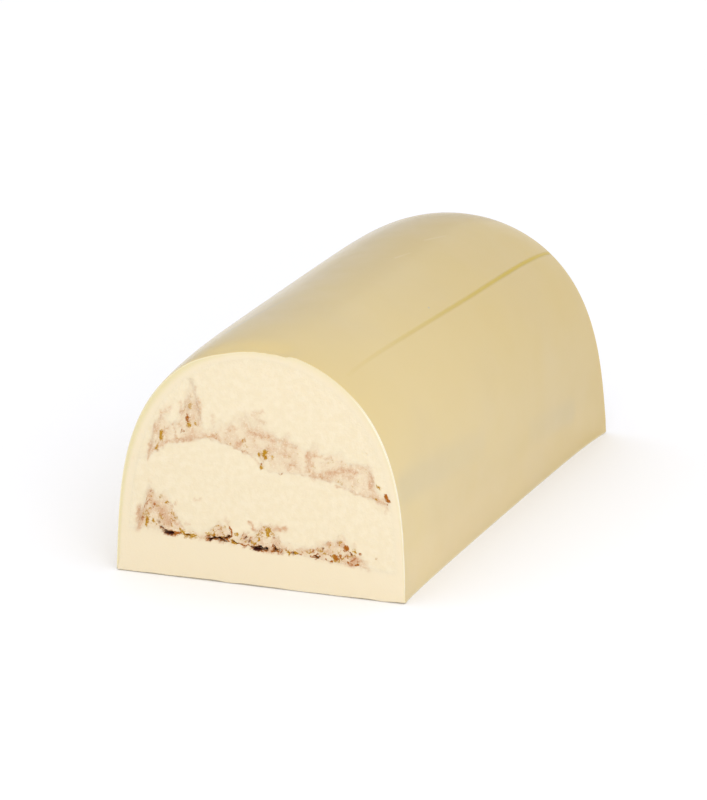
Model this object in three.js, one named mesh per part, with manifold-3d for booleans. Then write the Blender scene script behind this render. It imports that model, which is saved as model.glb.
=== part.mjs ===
// A hand-cut length of filled chocolate bar: an arched white chocolate shell with a thick base, two
// layers of pale nougat, and a seam of crushed praline flakes under each of them.
// Millimetres, +Z up, Y along the bar. The origin is under the middle of the bar, and the near cut
// faces -Y. The knife pressed the crown down and spread the foot a little at both cuts.
import * as THREE from "three";
import * as BufferGeometryUtils from "three/addons/utils/BufferGeometryUtils.js";
import Module from "manifold-3d";

// The bar's arched section: |x / HALF_WIDTH|^SIDE_POWER + (z / HEIGHT)^CROWN_POWER = 1.
const HALF_WIDTH = 16;
const HEIGHT = 27.8;
const SIDE_POWER = 2.0;
const CROWN_POWER = 3.2;

// The chocolate shell's wall, left and right of the near cut, and over the crown.
const WALL_LEFT = 1.3;
const WALL_RIGHT = 0.9;
const WALL_CROWN = 1.2;
const JOINT_GAP = 0.1;

// The two cuts. A bevel is how far a cut runs out of square across the width.
const NEAR_Y = -30;
const NEAR_BEVEL = 2;
const FAR_Y = 32;
const FAR_BEVEL = 8;
const FAR_LEAN = 3;

// What the knife did to the section near a cut, and how the foot is drawn in between the cuts. It leaned
// over, so the foot spreads further at the near left and the far right.
const CUT_REACH = 4;
const CUT_PRESS = 1 / 27.8;
const CUT_SPREAD = 0.02;
const LEAN_SPREAD = 0.018;
const FOOT_WAIST = 0.01;

// How far the layers rise, and tilt across the bar, as they run away from the near cut. Each is a
// sine wave, which turns by so many radians from cut to cut.
const LAYER_RISE = 1.1;
const RISE_TURN = 3.9;
const LAYER_TILT = 0.9;
const TILT_TURN = 2.6;
const BASE_HEIGHT = 5;

// Each seam as it shows on the near cut: place across the bar, height of its foot, thickness.
const UPPER_SEAM = {
  leftWall: 13.6,
  rightWall: 11.2,
  stations: [
    [-12.6, 13.8, 0.2],
    [-11.6, 14.7, 4.5],
    [-9.9, 15.8, 2.2],
    [-7.6, 16.5, 6.0],
    [-6.1, 16.8, 1.1],
    [-3.6, 16.3, 2.7],
    [-0.5, 15.4, 4.1],
    [1.3, 13.6, 4.5],
    [4.8, 13.8, 3.2],
    [8.0, 13.4, 3.3],
    [11.6, 12.1, 3.6],
    [14.1, 11.4, 0.4],
  ],
  crevices: [],
};
const LOWER_SEAM = {
  leftWall: 5.2,
  rightWall: 3.4,
  stations: [
    [-13.9, 5.2, 0.3],
    [-12.5, 5.5, 4.6],
    [-10.6, 5.2, 4.4],
    [-8.4, 5.1, 0.9],
    [-6.9, 5.1, 0.7],
    [-4.0, 4.9, 2.0],
    [-2.6, 4.7, 1.0],
    [0.9, 4.4, 2.8],
    [3.0, 4.4, 1.1],
    [5.6, 4.2, 1.2],
    [9.2, 4.0, 3.0],
    [12.5, 3.5, 0.3],
  ],
  crevices: [-10.1, -4.4, -0.1, 1.7, 6.4],
};
const RAGGED = 0.1;
const RAGGED_COARSE = 2.3;
const RAGGED_FINE = 4.1;
const SEAM_LEAST = 0.45;
const SEAM_UNDER_WALL = 0.4;

// Praline flakes that stand out of the cut seams, and the crevices where the seam came off the base.
const FLAKES_PER_CUT = 15;
const FLAKE_LEAST = 0.3;
const FLAKE_MOST = 0.6;
const FLAKE_SHAPE = { across: 1.4, along: 0.6, up: 0.8 };
const CREVICE_SHAPE = { across: 0.7, along: 0.9, up: 0.25 };
const CREVICE_TURN = 0.1;

// Fineness: steps along the bar, and points around the arch and along each seam.
const STEPS = 14;
const ARCH_POINTS = 36;
const CROWN_POINTS = 26;
const SIDE_POINTS = 5;
const SEAM_POINTS = 32;

// Vertices nearer than this are one, while a section is still unplaced.
const MERGE = 1e-5;

const wasm = await Module();
wasm.setup();

let seed = 20261;
function random() {
  seed = (seed * 1103515245 + 12345) % 2147483648;
  return seed / 2147483648;
}

function smooth(share) {
  return share * share * (3 - 2 * share);
}

// Points of an arch from one angle to another, 0 at the right foot and PI at the left.
function archPoints(from, to, count, left, right, height) {
  const points = [];
  for (let i = 0; i <= count; i += 1) {
    const angle = from + ((to - from) * i) / count;
    const across = Math.cos(angle);
    const half = across < 0 ? -left : right;
    const x = half * Math.abs(across) ** (2 / SIDE_POWER);
    const z = height * Math.max(0, Math.sin(angle)) ** (2 / CROWN_POWER);
    points.push(new THREE.Vector2(x, z));
  }
  return points;
}

// The inside of the wall, as an arch that keeps a further clearance from it.
function innerArch(fromHeight, toHeight, count, clearance) {
  const left = HALF_WIDTH - WALL_LEFT - clearance;
  const right = HALF_WIDTH - WALL_RIGHT - clearance;
  const height = HEIGHT - WALL_CROWN - clearance;
  const angleAt = (z) => Math.asin((z / height) ** (CROWN_POWER / 2));
  return archPoints(angleAt(fromHeight), Math.PI - angleAt(toHeight), count, left, right, height);
}

// One side of the inside of the wall, going up, between two heights.
function innerSide(isLeft, fromHeight, toHeight, clearance) {
  const half = HALF_WIDTH - clearance - (isLeft ? WALL_LEFT : WALL_RIGHT);
  const height = HEIGHT - WALL_CROWN - clearance;
  const points = [];
  for (let i = 0; i <= SIDE_POINTS; i += 1) {
    const z = fromHeight + ((toHeight - fromHeight) * i) / SIDE_POINTS;
    const x = half * (1 - (z / height) ** CROWN_POWER) ** (1 / SIDE_POWER);
    points.push(new THREE.Vector2(isLeft ? -x : x, z));
  }
  return points;
}

// How high the inside of the wall stands over a place across the bar.
function roofOver(x) {
  const half = HALF_WIDTH - (x < 0 ? WALL_LEFT : WALL_RIGHT);
  const open = Math.max(0, 1 - Math.abs(x / half) ** SIDE_POWER);
  return (HEIGHT - WALL_CROWN) * open ** (1 / CROWN_POWER);
}

// A seam's foot and thickness at evenly spaced places from wall to wall.
function seamLine(seam) {
  const left = innerSide(true, seam.leftWall, seam.leftWall, JOINT_GAP)[0].x;
  const right = innerSide(false, seam.rightWall, seam.rightWall, JOINT_GAP)[0].x;
  const stations = [[left, seam.leftWall, 0], ...seam.stations, [right, seam.rightWall, 0]];
  const line = [];
  for (let i = 0; i <= SEAM_POINTS; i += 1) {
    const x = left + ((right - left) * i) / SEAM_POINTS;
    const next = Math.max(1, stations.findIndex((station) => station[0] >= x - MERGE));
    const [x0, foot0, thick0] = stations[next - 1];
    const [x1, foot1, thick1] = stations[next];
    const share = smooth((x - x0) / (x1 - x0));
    const foot = foot0 + (foot1 - foot0) * share;
    const ragged = 1 + RAGGED * (Math.sin(RAGGED_COARSE * x) + Math.cos(RAGGED_FINE * x));
    const wanted = (thick0 + (thick1 - thick0) * share) * ragged;
    const least = next > 1 && next < stations.length - 1 ? SEAM_LEAST : 0;
    const room = roofOver(x) - SEAM_UNDER_WALL - foot;
    line.push({ x, foot, thick: Math.max(least, Math.min(wanted, room)) });
  }
  return line;
}

const upperLine = seamLine(UPPER_SEAM);
const lowerLine = seamLine(LOWER_SEAM);

// A seam's own outline, which runs out to a point at both sides.
function seamOutline(line) {
  const first = line.findIndex(({ thick }) => thick >= SEAM_LEAST);
  const last = line.findLastIndex(({ thick }) => thick >= SEAM_LEAST);
  const body = line.slice(first, last + 1);
  const tip = ({ x, foot, thick }) => new THREE.Vector2(x, foot + thick / 2);
  return [
    tip(line[first - 1]),
    ...footPoints(body, JOINT_GAP / 2),
    tip(line[last + 1]),
    ...topPoints(body, -JOINT_GAP / 2).reverse(),
  ];
}

function footPoints(line, offset) {
  return line.map(({ x, foot }) => new THREE.Vector2(x, foot + offset));
}

function topPoints(line, offset) {
  return line.map(({ x, foot, thick }) => new THREE.Vector2(x, foot + thick + offset));
}

// Where a point of the section goes: along is 0 at the far cut and 1 at the near cut.
function place(x, z, along) {
  const share = (1 - Math.cos(Math.PI * along)) / 2;
  const nearY = NEAR_Y + (NEAR_BEVEL * (x / HALF_WIDTH - 1)) / 2;
  const farY = FAR_Y + (FAR_BEVEL * (x / HALF_WIDTH - 1)) / 2 - (FAR_LEAN * z) / HEIGHT;
  const y = farY + (nearY - farY) * share;
  const nearEnd = Math.exp((nearY - y) / CUT_REACH);
  const farEnd = Math.exp((y - farY) / CUT_REACH);
  const ends = nearEnd + farEnd;
  const low = (1 - z / HEIGHT) ** 2;
  const lean = LEAN_SPREAD * (x < 0 ? nearEnd : farEnd);
  const flare = CUT_SPREAD * ends + lean - FOOT_WAIST * Math.sin(Math.PI * share);
  const edge = Math.abs(x / HALF_WIDTH) ** SIDE_POWER + (z / HEIGHT) ** CROWN_POWER;
  const inside = Math.max(0, 1 - edge) * Math.min(1, z / BASE_HEIGHT);
  const away = 1 - share;
  const tilt = LAYER_TILT * (x / HALF_WIDTH) * Math.sin(TILT_TURN * away);
  const rise = LAYER_RISE * Math.sin(RISE_TURN * away) + tilt;
  return new THREE.Vector3(
    x * (1 + flare * low),
    y,
    (z + rise * inside) * (1 - CUT_PRESS * ends),
  );
}

// A section run through the bar from cut to cut.
function runThrough(outline, hole) {
  const shape = new THREE.Shape(outline);
  if (hole) {
    shape.holes.push(new THREE.Path(hole));
  }
  const blank = new THREE.ExtrudeGeometry(shape, { depth: 1, steps: STEPS, bevelEnabled: false });
  blank.deleteAttribute("normal");
  blank.deleteAttribute("uv");
  const geometry = BufferGeometryUtils.mergeVertices(blank, MERGE);
  const position = geometry.getAttribute("position");
  for (let i = 0; i < position.count; i += 1) {
    const point = place(position.getX(i), position.getY(i), position.getZ(i));
    position.setXYZ(i, point.x, point.y, point.z);
  }
  return geometry;
}

function solidOf(geometry) {
  const vertProperties = new Float32Array(geometry.getAttribute("position").array);
  const triVerts = new Uint32Array(geometry.getIndex().array);
  return new wasm.Manifold(new wasm.Mesh({ numProp: 3, vertProperties, triVerts }));
}

function geometryOf(solid) {
  const mesh = solid.getMesh();
  const geometry = new THREE.BufferGeometry();
  geometry.setAttribute("position", new THREE.BufferAttribute(mesh.vertProperties, 3));
  geometry.setIndex(new THREE.BufferAttribute(mesh.triVerts, 1));
  return geometry;
}

// An eight-sided crumb about a point, with its half sizes across, along and up for a size of 1 mm. It
// is turned in the plane of the cut.
function crumb(middle, size, shape, turn) {
  const blank = new THREE.OctahedronGeometry(1, 0);
  blank.deleteAttribute("normal");
  blank.deleteAttribute("uv");
  const geometry = BufferGeometryUtils.mergeVertices(blank, MERGE);
  geometry.scale(size * shape.across, size * shape.along, size * shape.up);
  geometry.rotateY(turn);
  geometry.translate(middle.x, middle.y, middle.z);
  return solidOf(geometry);
}

// A random place inside a seam's section, no nearer its foot or top than the margin.
function placeInSeam(line, margin) {
  for (;;) {
    const { x, foot, thick } = line[1 + Math.floor(random() * (line.length - 2))];
    const share = random();
    if (thick > 2 * margin + SEAM_LEAST) {
      return { x, z: foot + margin + share * (thick - 2 * margin) };
    }
  }
}

function footAt(line, x) {
  const next = line.findIndex((station) => station.x >= x);
  const share = (x - line[next - 1].x) / (line[next].x - line[next - 1].x);
  return line[next - 1].foot + (line[next].foot - line[next - 1].foot) * share;
}

// A praline seam: a ragged ribbon from cut to cut, with flakes standing out of both cuts.
function seamGeometry(line, crevices) {
  const outline = seamOutline(line);
  const room = solidOf(runThroughBeyond(outline));
  let seam = solidOf(runThrough(outline));
  for (const along of [1, 0]) {
    for (let i = 0; i < FLAKES_PER_CUT; i += 1) {
      const size = FLAKE_LEAST + (FLAKE_MOST - FLAKE_LEAST) * random();
      const { x, z } = placeInSeam(line, size / 2);
      const flake = crumb(place(x, z, along), size, FLAKE_SHAPE, random() * Math.PI);
      seam = seam.add(flake.intersect(room));
    }
    for (const x of crevices) {
      const middle = place(x, footAt(line, x) + CREVICE_SHAPE.up / 2, along);
      seam = seam.subtract(crumb(middle, 1, CREVICE_SHAPE, CREVICE_TURN));
    }
  }
  return geometryOf(seam);
}

// The seam's section carried past both cuts, which keeps the flakes off the layers beside it.
function runThroughBeyond(outline) {
  const geometry = runThrough(outline);
  const position = geometry.getAttribute("position");
  for (let i = 0; i < position.count; i += 1) {
    const y = position.getY(i);
    const further = FLAKE_MOST * smooth(Math.min(1, Math.abs(y) / HALF_WIDTH));
    position.setY(i, y + Math.sign(y) * further);
  }
  return geometry;
}

function shellGeometry() {
  const outline = archPoints(0, Math.PI, ARCH_POINTS, HALF_WIDTH, HALF_WIDTH, HEIGHT);
  const hole = [
    ...innerArch(LOWER_SEAM.rightWall, LOWER_SEAM.leftWall, ARCH_POINTS, 0),
    ...footPoints(lowerLine, -JOINT_GAP / 2),
  ];
  return runThrough(outline, hole);
}

function upperNougatGeometry() {
  const arch = innerArch(UPPER_SEAM.rightWall, UPPER_SEAM.leftWall, CROWN_POINTS, JOINT_GAP);
  return runThrough([...topPoints(upperLine, JOINT_GAP / 2), ...arch.slice(1, -1)]);
}

function lowerNougatGeometry() {
  const rightSide = innerSide(false, LOWER_SEAM.rightWall, UPPER_SEAM.rightWall, JOINT_GAP);
  const leftSide = innerSide(true, LOWER_SEAM.leftWall, UPPER_SEAM.leftWall, JOINT_GAP);
  return runThrough([
    ...topPoints(lowerLine, JOINT_GAP / 2),
    ...rightSide.slice(1, -1),
    ...footPoints(upperLine, -JOINT_GAP / 2).reverse(),
    ...leftSide.reverse().slice(1, -1),
  ]);
}

function piece(name, geometry, color, roughness) {
  geometry.computeVertexNormals();
  const material = new THREE.MeshStandardMaterial({ color, roughness, metalness: 0 });
  const mesh = new THREE.Mesh(geometry, material);
  mesh.name = name;
  return mesh;
}

const bar = new THREE.Group();
bar.add(piece("chocolate_shell", shellGeometry(), "#e5d3a3", 0.4));
bar.add(piece("upper_nougat", upperNougatGeometry(), "#faebcd", 0.7));
bar.add(piece("lower_nougat", lowerNougatGeometry(), "#faebcd", 0.7));
bar.add(piece("upper_praline_seam", seamGeometry(upperLine, UPPER_SEAM.crevices), "#e3c09b", 0.75));
bar.add(piece("lower_praline_seam", seamGeometry(lowerLine, LOWER_SEAM.crevices), "#d8b285", 0.75));

export default bar;
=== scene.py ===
"""A hand-cut length of arched nougat bar under white chocolate, built over its CAD frame in Blender."""

import math

import bmesh
import bpy
import numpy as np
from mathutils import Matrix, Vector


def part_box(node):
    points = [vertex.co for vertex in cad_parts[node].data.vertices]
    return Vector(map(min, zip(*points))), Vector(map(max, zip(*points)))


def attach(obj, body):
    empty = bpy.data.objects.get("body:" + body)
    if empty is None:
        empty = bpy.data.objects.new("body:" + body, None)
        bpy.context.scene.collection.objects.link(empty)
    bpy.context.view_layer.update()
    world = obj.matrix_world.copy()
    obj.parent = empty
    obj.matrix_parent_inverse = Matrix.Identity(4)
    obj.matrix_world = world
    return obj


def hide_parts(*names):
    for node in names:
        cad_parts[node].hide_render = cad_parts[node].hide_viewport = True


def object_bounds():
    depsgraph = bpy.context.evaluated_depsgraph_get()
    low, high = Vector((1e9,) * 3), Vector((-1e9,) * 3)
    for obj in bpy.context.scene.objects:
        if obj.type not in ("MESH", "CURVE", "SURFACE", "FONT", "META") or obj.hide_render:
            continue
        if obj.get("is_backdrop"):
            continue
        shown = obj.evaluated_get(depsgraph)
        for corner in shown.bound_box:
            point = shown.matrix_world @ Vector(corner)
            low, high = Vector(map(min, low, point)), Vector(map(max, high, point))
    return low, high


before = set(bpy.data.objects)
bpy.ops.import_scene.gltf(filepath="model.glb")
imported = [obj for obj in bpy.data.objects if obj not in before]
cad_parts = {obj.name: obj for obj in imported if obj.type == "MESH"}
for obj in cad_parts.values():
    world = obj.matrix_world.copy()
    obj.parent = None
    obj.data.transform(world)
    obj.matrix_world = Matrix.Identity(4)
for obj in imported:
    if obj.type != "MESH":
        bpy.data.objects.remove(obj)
cad_low, cad_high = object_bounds()

# The white chocolate coat
# A thin arched wall and a thick flat base in one piece of white chocolate, poured into a mould, filled with
# the layers and cut across. The moulded outside is satin and yellower. The cut shows a paler, waxy chocolate.

MM = 0.001
CUT_SPREAD = 0.02  # share by which the foot of a cut spreads under the knife
LEAN_SPREAD = 0.018  # further spread at the near left and the far right, where the knife leaned
CUT_REACH = 4.0  # length over which that spreading dies away, mm
coat_low, coat_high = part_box("chocolate_shell")
HALF_WIDTH = coat_high.x / MM / (1 + CUT_SPREAD + LEAN_SPREAD)
HEIGHT = coat_high.z / MM
SIDE_POWER, CROWN_POWER = 2.0, 3.2  # roundness of the arch's outline, across and up
WALL_LEFT, WALL_RIGHT, WALL_CROWN = 1.3, 0.9, 1.2  # thickness of the wall, mm
NEAR_BEVEL, FAR_BEVEL = 2.0, 8.0  # how far each cut runs out of square across the bar, mm
NEAR_Y = coat_low.y / MM + NEAR_BEVEL
FAR_Y = coat_high.y / MM
FAR_LEAN = 3.0  # how far the far cut leans in at the crown, mm
CUT_PRESS = 1 / 27.8  # share by which the knife pressed the bar down at a cut
FOOT_WAIST = 0.01  # share by which the foot is narrower halfway along
BASE_HEIGHT = 5.0  # mm
LAYER_RISE, RISE_TURN = 1.1, 3.9  # how far the layers wander up between the cuts, mm, and how fast
LAYER_TILT, TILT_TURN = 0.9, 2.6  # how far they tilt to one side in between, mm, and how fast
RELIEF_REACH = 0.5  # depth over which the roughness of a cut dies away, mm


def place(x, z, share, near_proud=0.0, far_proud=0.0):
    """Carries section points to their place along the bar: share 0 is the far cut and 1 the near one."""
    near = NEAR_Y + NEAR_BEVEL * (x / HALF_WIDTH - 1) / 2
    far = FAR_Y + FAR_BEVEL * (x / HALF_WIDTH - 1) / 2 - FAR_LEAN * z / HEIGHT
    y = far + (near - far) * share
    near_end, far_end = np.exp((near - y) / CUT_REACH), np.exp((y - far) / CUT_REACH)
    ends = near_end + far_end
    leaned = LEAN_SPREAD * np.where(x < 0, near_end, far_end)
    flare = CUT_SPREAD * ends + leaned - FOOT_WAIST * np.sin(math.pi * share)
    flare = flare * (1 - z / HEIGHT) ** 2
    edge = np.abs(x / HALF_WIDTH) ** SIDE_POWER + (np.maximum(z, 0) / HEIGHT) ** CROWN_POWER
    inside = np.maximum(0, 1 - edge) * np.minimum(1, z / BASE_HEIGHT)
    away = 1 - share
    rise = LAYER_RISE * np.sin(RISE_TURN * away) + LAYER_TILT * x / HALF_WIDTH * np.sin(TILT_TURN * away)
    y = y - near_proud * np.exp((near - y) / RELIEF_REACH) + far_proud * np.exp((y - far) / RELIEF_REACH)
    return np.stack((x * (1 + flare), y, (z + rise * inside) * (1 - CUT_PRESS * ends)), axis=-1) * MM


def arch(turn, clearance_left=0.0, clearance_right=0.0, clearance_top=0.0):
    """The arch's outline, moved in by clearances: turn 0 is the left foot and 1 the right foot."""
    bend = math.pi * turn
    z = np.sin(bend)
    half = HALF_WIDTH - np.where(turn < 0.5, clearance_left, clearance_right)
    x = -np.sign(np.cos(bend)) * half * np.sqrt(np.maximum(0, 1 - z**CROWN_POWER))
    return x, (HEIGHT - clearance_top) * z


def wall_turn(height):
    """The turn at which the inner arch reaches a height on its left side."""
    return np.arcsin(height / (HEIGHT - WALL_CROWN)) / math.pi


def between(a, b, share):
    return a + (b - a) * share


def ease(share):
    return share * share * (3 - 2 * share)


def blotches(x, z, size, seed):
    """Smooth random values from 0 to 1 over the section, in blotches of about that size in millimetres."""
    table = np.random.default_rng(seed).random((64, 64))
    across, up = x / size + 32.0, z / size
    column, row = np.floor(across).astype(int), np.floor(up).astype(int)
    right, top = ease(across - column), ease(up - row)
    low = between(table[column % 64, row % 64], table[(column + 1) % 64, row % 64], right)
    high = between(table[column % 64, (row + 1) % 64], table[(column + 1) % 64, (row + 1) % 64], right)
    return between(low, high, top)


CUT_GRAIN = 0.014  # height of the grain of a cut, mm
GRAIN_FINE, GRAIN_COARSE = 0.35, 0.9  # sizes of that grain, mm


def cut_grain(x, z):
    """How proud the fine grain of a cut stands, in mm."""
    return (blotches(x, z, GRAIN_FINE, 22) + blotches(x, z, GRAIN_COARSE, 23) - 1) * CUT_GRAIN


# height of the coat's floor under the lower praline seam, from the left wall to the right one: x, z in mm
FLOOR_LINE = ((-13.9, 5.2), (-12.5, 5.5), (-10.6, 5.2), (-8.4, 5.1), (-6.9, 5.1), (-4.0, 4.9), (-2.6, 4.7),
              (0.9, 4.4), (3.0, 4.4), (5.6, 4.2), (9.2, 4.0), (12.5, 3.5))
FLOOR_LEFT, FLOOR_RIGHT = 5.2, 3.4


def smooth_line(stations, x):
    """Heights of a hand-spread line through the stations, eased from one to the next."""
    xs, zs = np.array(stations).T
    spot = np.clip(np.searchsorted(xs, x) - 1, 0, len(xs) - 2)
    share = np.clip((x - xs[spot]) / (xs[spot + 1] - xs[spot]), 0, 1)
    return between(zs[spot], zs[spot + 1], ease(share))


def sweep(name, section, steps):
    """Extrudes a flat section one unit up and divides it into steps. Gives the mesh and its flat coordinates."""
    grown = bmesh.ops.extrude_face_region(section, geom=section.faces[:], use_keep_orig=True)
    lifted = [item for item in grown["geom"] if isinstance(item, bmesh.types.BMVert)]
    bmesh.ops.translate(section, vec=(0, 0, 1), verts=lifted)
    rising = [e for e in section.edges if abs(e.verts[0].co.z - e.verts[1].co.z) > 0.5]
    bmesh.ops.subdivide_edges(section, edges=rising, cuts=steps - 1)
    mesh = bpy.data.meshes.new(name)
    section.to_mesh(mesh)
    section.free()
    flat = np.empty(len(mesh.vertices) * 3)
    mesh.vertices.foreach_get("co", flat)
    return mesh, flat.reshape(-1, 3).T


SHARP_ANGLE = math.radians(50)  # edges sharper than this keep a crease


def settle(mesh, points):
    """Moves a mesh's vertices to their places and turns every face outward and smooth."""
    mesh.vertices.foreach_set("co", points.ravel())
    shape = bmesh.new()
    shape.from_mesh(mesh)
    bmesh.ops.recalc_face_normals(shape, faces=shape.faces[:])
    for face in shape.faces:
        face.smooth = True
    for edge in shape.edges:
        edge.smooth = edge.calc_face_angle(0) < SHARP_ANGLE
    shape.to_mesh(mesh)
    shape.free()
    mesh.update()


def carve(mesh, name, values):
    """Stores one value a vertex under that name, for the materials to read."""
    layer = mesh.attributes.new(name, "FLOAT", "POINT")
    layer.data.foreach_set("value", np.ascontiguousarray(values, dtype=np.float32))


ARCH_STEPS = 200  # steps over the arch
FOOT_CLOSENESS = 0.88  # how much closer they lie at its feet
FLOOR_STEPS, WALL_STEPS, COAT_STEPS = 120, 9, 72  # steps across the base, through the wall and along the bar
FOOT_ROUND, RIM_ROUND = 0.04, 0.05  # rounding of the foot's edge and of the cut's rim, mm

ring = ARCH_STEPS + FLOOR_STEPS
section = bmesh.new()
bmesh.ops.create_circle(section, segments=ring, radius=1)
bmesh.ops.create_circle(section, segments=ring, radius=2)
bmesh.ops.bridge_loops(section, edges=section.edges[:])
spokes = [e for e in section.edges if abs(e.verts[0].co.length - e.verts[1].co.length) > 0.5]
bmesh.ops.subdivide_edges(section, edges=spokes, cuts=WALL_STEPS - 1)
coat_mesh, (flat_x, flat_y, along) = sweep("chocolate_coat", section, COAT_STEPS)

around = np.round(np.arctan2(flat_y, flat_x) / math.tau * ring) % ring
inward = np.hypot(flat_x, flat_y) - 1
coat_share = (1 - np.cos(math.pi * along)) / 2
on_arch = around <= ARCH_STEPS
arch_share = np.clip(around / ARCH_STEPS, 0, 1)
arch_share = arch_share - FOOT_CLOSENESS * np.sin(math.tau * arch_share) / math.tau
floor_share = np.clip((around - ARCH_STEPS) / FLOOR_STEPS, 0, 1)
floor_share = (1 - np.cos(math.pi * floor_share)) / 2

outer_x, outer_z = arch(arch_share)
rounding = FOOT_ROUND - np.sqrt(np.maximum(0, FOOT_ROUND**2 - np.maximum(0, FOOT_ROUND - outer_z) ** 2))
outer_x = outer_x - np.sign(outer_x) * rounding
outer_x = np.where(on_arch, outer_x, between(1, -1, floor_share) * (HALF_WIDTH - FOOT_ROUND))
outer_z = np.where(on_arch, outer_z, 0)

left_turn, right_turn = wall_turn(FLOOR_LEFT), 1 - wall_turn(FLOOR_RIGHT)
inner_x, inner_z = arch(between(left_turn, right_turn, arch_share), WALL_LEFT, WALL_RIGHT, WALL_CROWN)
left_x = arch(np.array(left_turn), WALL_LEFT, WALL_RIGHT, WALL_CROWN)[0]
right_x = arch(np.array(right_turn), WALL_LEFT, WALL_RIGHT, WALL_CROWN)[0]
line_x = between(right_x, left_x, floor_share)
line_ends = ((left_x, FLOOR_LEFT), *FLOOR_LINE, (right_x, FLOOR_RIGHT))
inner_x = np.where(on_arch, inner_x, line_x)
inner_z = np.where(on_arch, inner_z, smooth_line(line_ends, line_x))

coat_x = between(outer_x, inner_x, inward)
coat_z = between(outer_z, inner_z, inward)
to_near = (1 - coat_share) * (FAR_Y - NEAR_Y)
to_far = coat_share * (FAR_Y - NEAR_Y)

# the knife lifts the foot of each cut a little off the table, unevenly
LIFT, LIFT_REACH = 0.16, 0.45  # how high and how deep in from the cut, mm
to_cut = np.minimum(to_near, to_far)
lift = LIFT * (0.4 + 0.9 * blotches(coat_x, coat_x * 0, 1.7, 2)) * np.exp(-((to_cut / LIFT_REACH) ** 2))
coat_z = np.maximum(coat_z, lift)

# the knife leaves a thin pale burr on the cut's right edge, a paler left edge and a long shallow chip in the rim
# at the crown. A thin pale line along both feet is a painted highlight, where the edge of the foot catches the light.
FROM_ARCH = 9.0  # stands for "far from the arch", mm
BURR_START = 9.0  # how far right of the middle the burr begins, mm
BURR_WIDTH, BURR_REACH, BURR_PROUD, BURR_PULL = 0.16, 0.12, 0.06, 0.04  # mm
CHIP_START, CHIP_END, CHIP_DEPTH, CHIP_REACH = -9.0, 3.9, 0.36, 1.5  # mm
CHIP_SLOPE, CHIP_STEP = 5.0, 1.2  # length of the chip's long run-in and of its short end, mm
RIM_DIP = 0.03  # how far the rounded rim falls back from the cut, mm
FOOT_HIGHLIGHT_HEIGHT, FOOT_HIGHLIGHT_STRENGTH = 0.16, 0.8
PALE_RIM = 0.5  # strength of the paler left edge
EDGE_FADE = 1.0  # how far the yellow edge of the cut is narrowed on the crown and the right, mm
wall = np.hypot(inner_x - outer_x, inner_z - outer_z)
narrowed = EDGE_FADE * ease(np.clip((coat_x + 12) / 10, 0, 1))
from_edge = np.where(on_arch, inward * wall + narrowed, FROM_ARCH)
right_side = ease(np.clip((coat_x + 2) / 5, 0, 1)) * ease(np.clip(coat_z / 2, 0, 1))
burr = np.exp(-((inward * wall / BURR_WIDTH) ** 2)) * np.exp(-((to_near / BURR_REACH) ** 2)) * right_side * on_arch
burr *= (0.5 + 0.7 * blotches(coat_x, coat_z, 1.6, 5)) * ease(np.clip((coat_x - BURR_START) / 4, 0, 1))
chip = ease(np.clip((coat_x - CHIP_START) / CHIP_SLOPE, 0, 1)) * ease(np.clip((CHIP_END - coat_x) / CHIP_STEP, 0, 1))
chip *= np.exp(-((to_near / CHIP_REACH) ** 2)) * on_arch * (1 - inward)
chip *= 0.85 + 0.3 * blotches(coat_x, to_near, 0.5, 3)
# painted highlight: a thin pale line along the outer foot, where its edge catches the light
painted_foot_highlight = FOOT_HIGHLIGHT_STRENGTH * np.exp(-((coat_z / FOOT_HIGHLIGHT_HEIGHT) ** 2)) * on_arch * (inward < 0.01)
rim = np.exp(-((to_cut / RIM_ROUND) ** 2)) * (1 - inward) ** 4
pull = np.where(on_arch, rim * RIM_ROUND * (1 - right_side) + chip * CHIP_DEPTH - burr * BURR_PULL, 0)
length = np.maximum(np.hypot(coat_x, coat_z), 1)
grain = cut_grain(coat_x, coat_z) * ease(inward)
kept = 1 - pull / length
near_proud = grain + burr * BURR_PROUD - rim * RIM_DIP
settle(coat_mesh, place(coat_x * kept, coat_z * kept, coat_share, near_proud, grain))
pale_rim = PALE_RIM * np.exp(-((to_near / RIM_ROUND) ** 2)) * (1 - right_side) * on_arch * (inward < 0.01)
# the burr attribute carries the burr, the painted highlight along the feet and the paler left edge
carve(coat_mesh, "burr", np.clip(np.maximum(np.maximum(burr * 1.2, painted_foot_highlight), pale_rim), 0, 1))
carve(coat_mesh, "from_edge", from_edge)

# the skin unrolled: how far each point lies around the arch from the crown and along from the far cut, mm
turns = np.linspace(0, 1, 2001)
turn_x, turn_z = arch(turns)
rolled = np.concatenate(([0.0], np.cumsum(np.hypot(np.diff(turn_x), np.diff(turn_z)))))
carve(coat_mesh, "skin_around", np.interp(arch_share, turns, rolled) - rolled[-1] / 2)
carve(coat_mesh, "skin_along", to_far)

# the faces of the two cuts and those against the filling take the second material
on_cut = np.isclose(coat_share, 0) | np.isclose(coat_share, 1)
corners = np.empty(len(coat_mesh.loops), dtype=np.int32)
coat_mesh.loops.foreach_get("vertex_index", corners)
starts = np.empty(len(coat_mesh.polygons), dtype=np.int32)
coat_mesh.polygons.foreach_get("loop_start", starts)
sides = np.logical_and.reduceat(on_cut[corners], starts)
middle = np.add.reduceat(coat_share[corners], starts)
flat_ends = sides & (np.isclose(middle, 0) | np.isclose(middle, 4))
inside_faces = np.logical_and.reduceat(np.isclose(inward, 1)[corners], starts)
coat_mesh.polygons.foreach_set("material_index", (flat_ends | inside_faces).astype(np.int32))


def add(tree, kind, links=None, **settings):
    """One shader node, with its settings and with values or other sockets on its inputs."""
    node = tree.nodes.new(kind)
    for name, value in settings.items():
        setattr(node, name, value)
    for key, value in (links or {}).items():
        if isinstance(value, bpy.types.NodeSocket):
            tree.links.new(value, node.inputs[key])
        else:
            node.inputs[key].default_value = value
    return node


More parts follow.
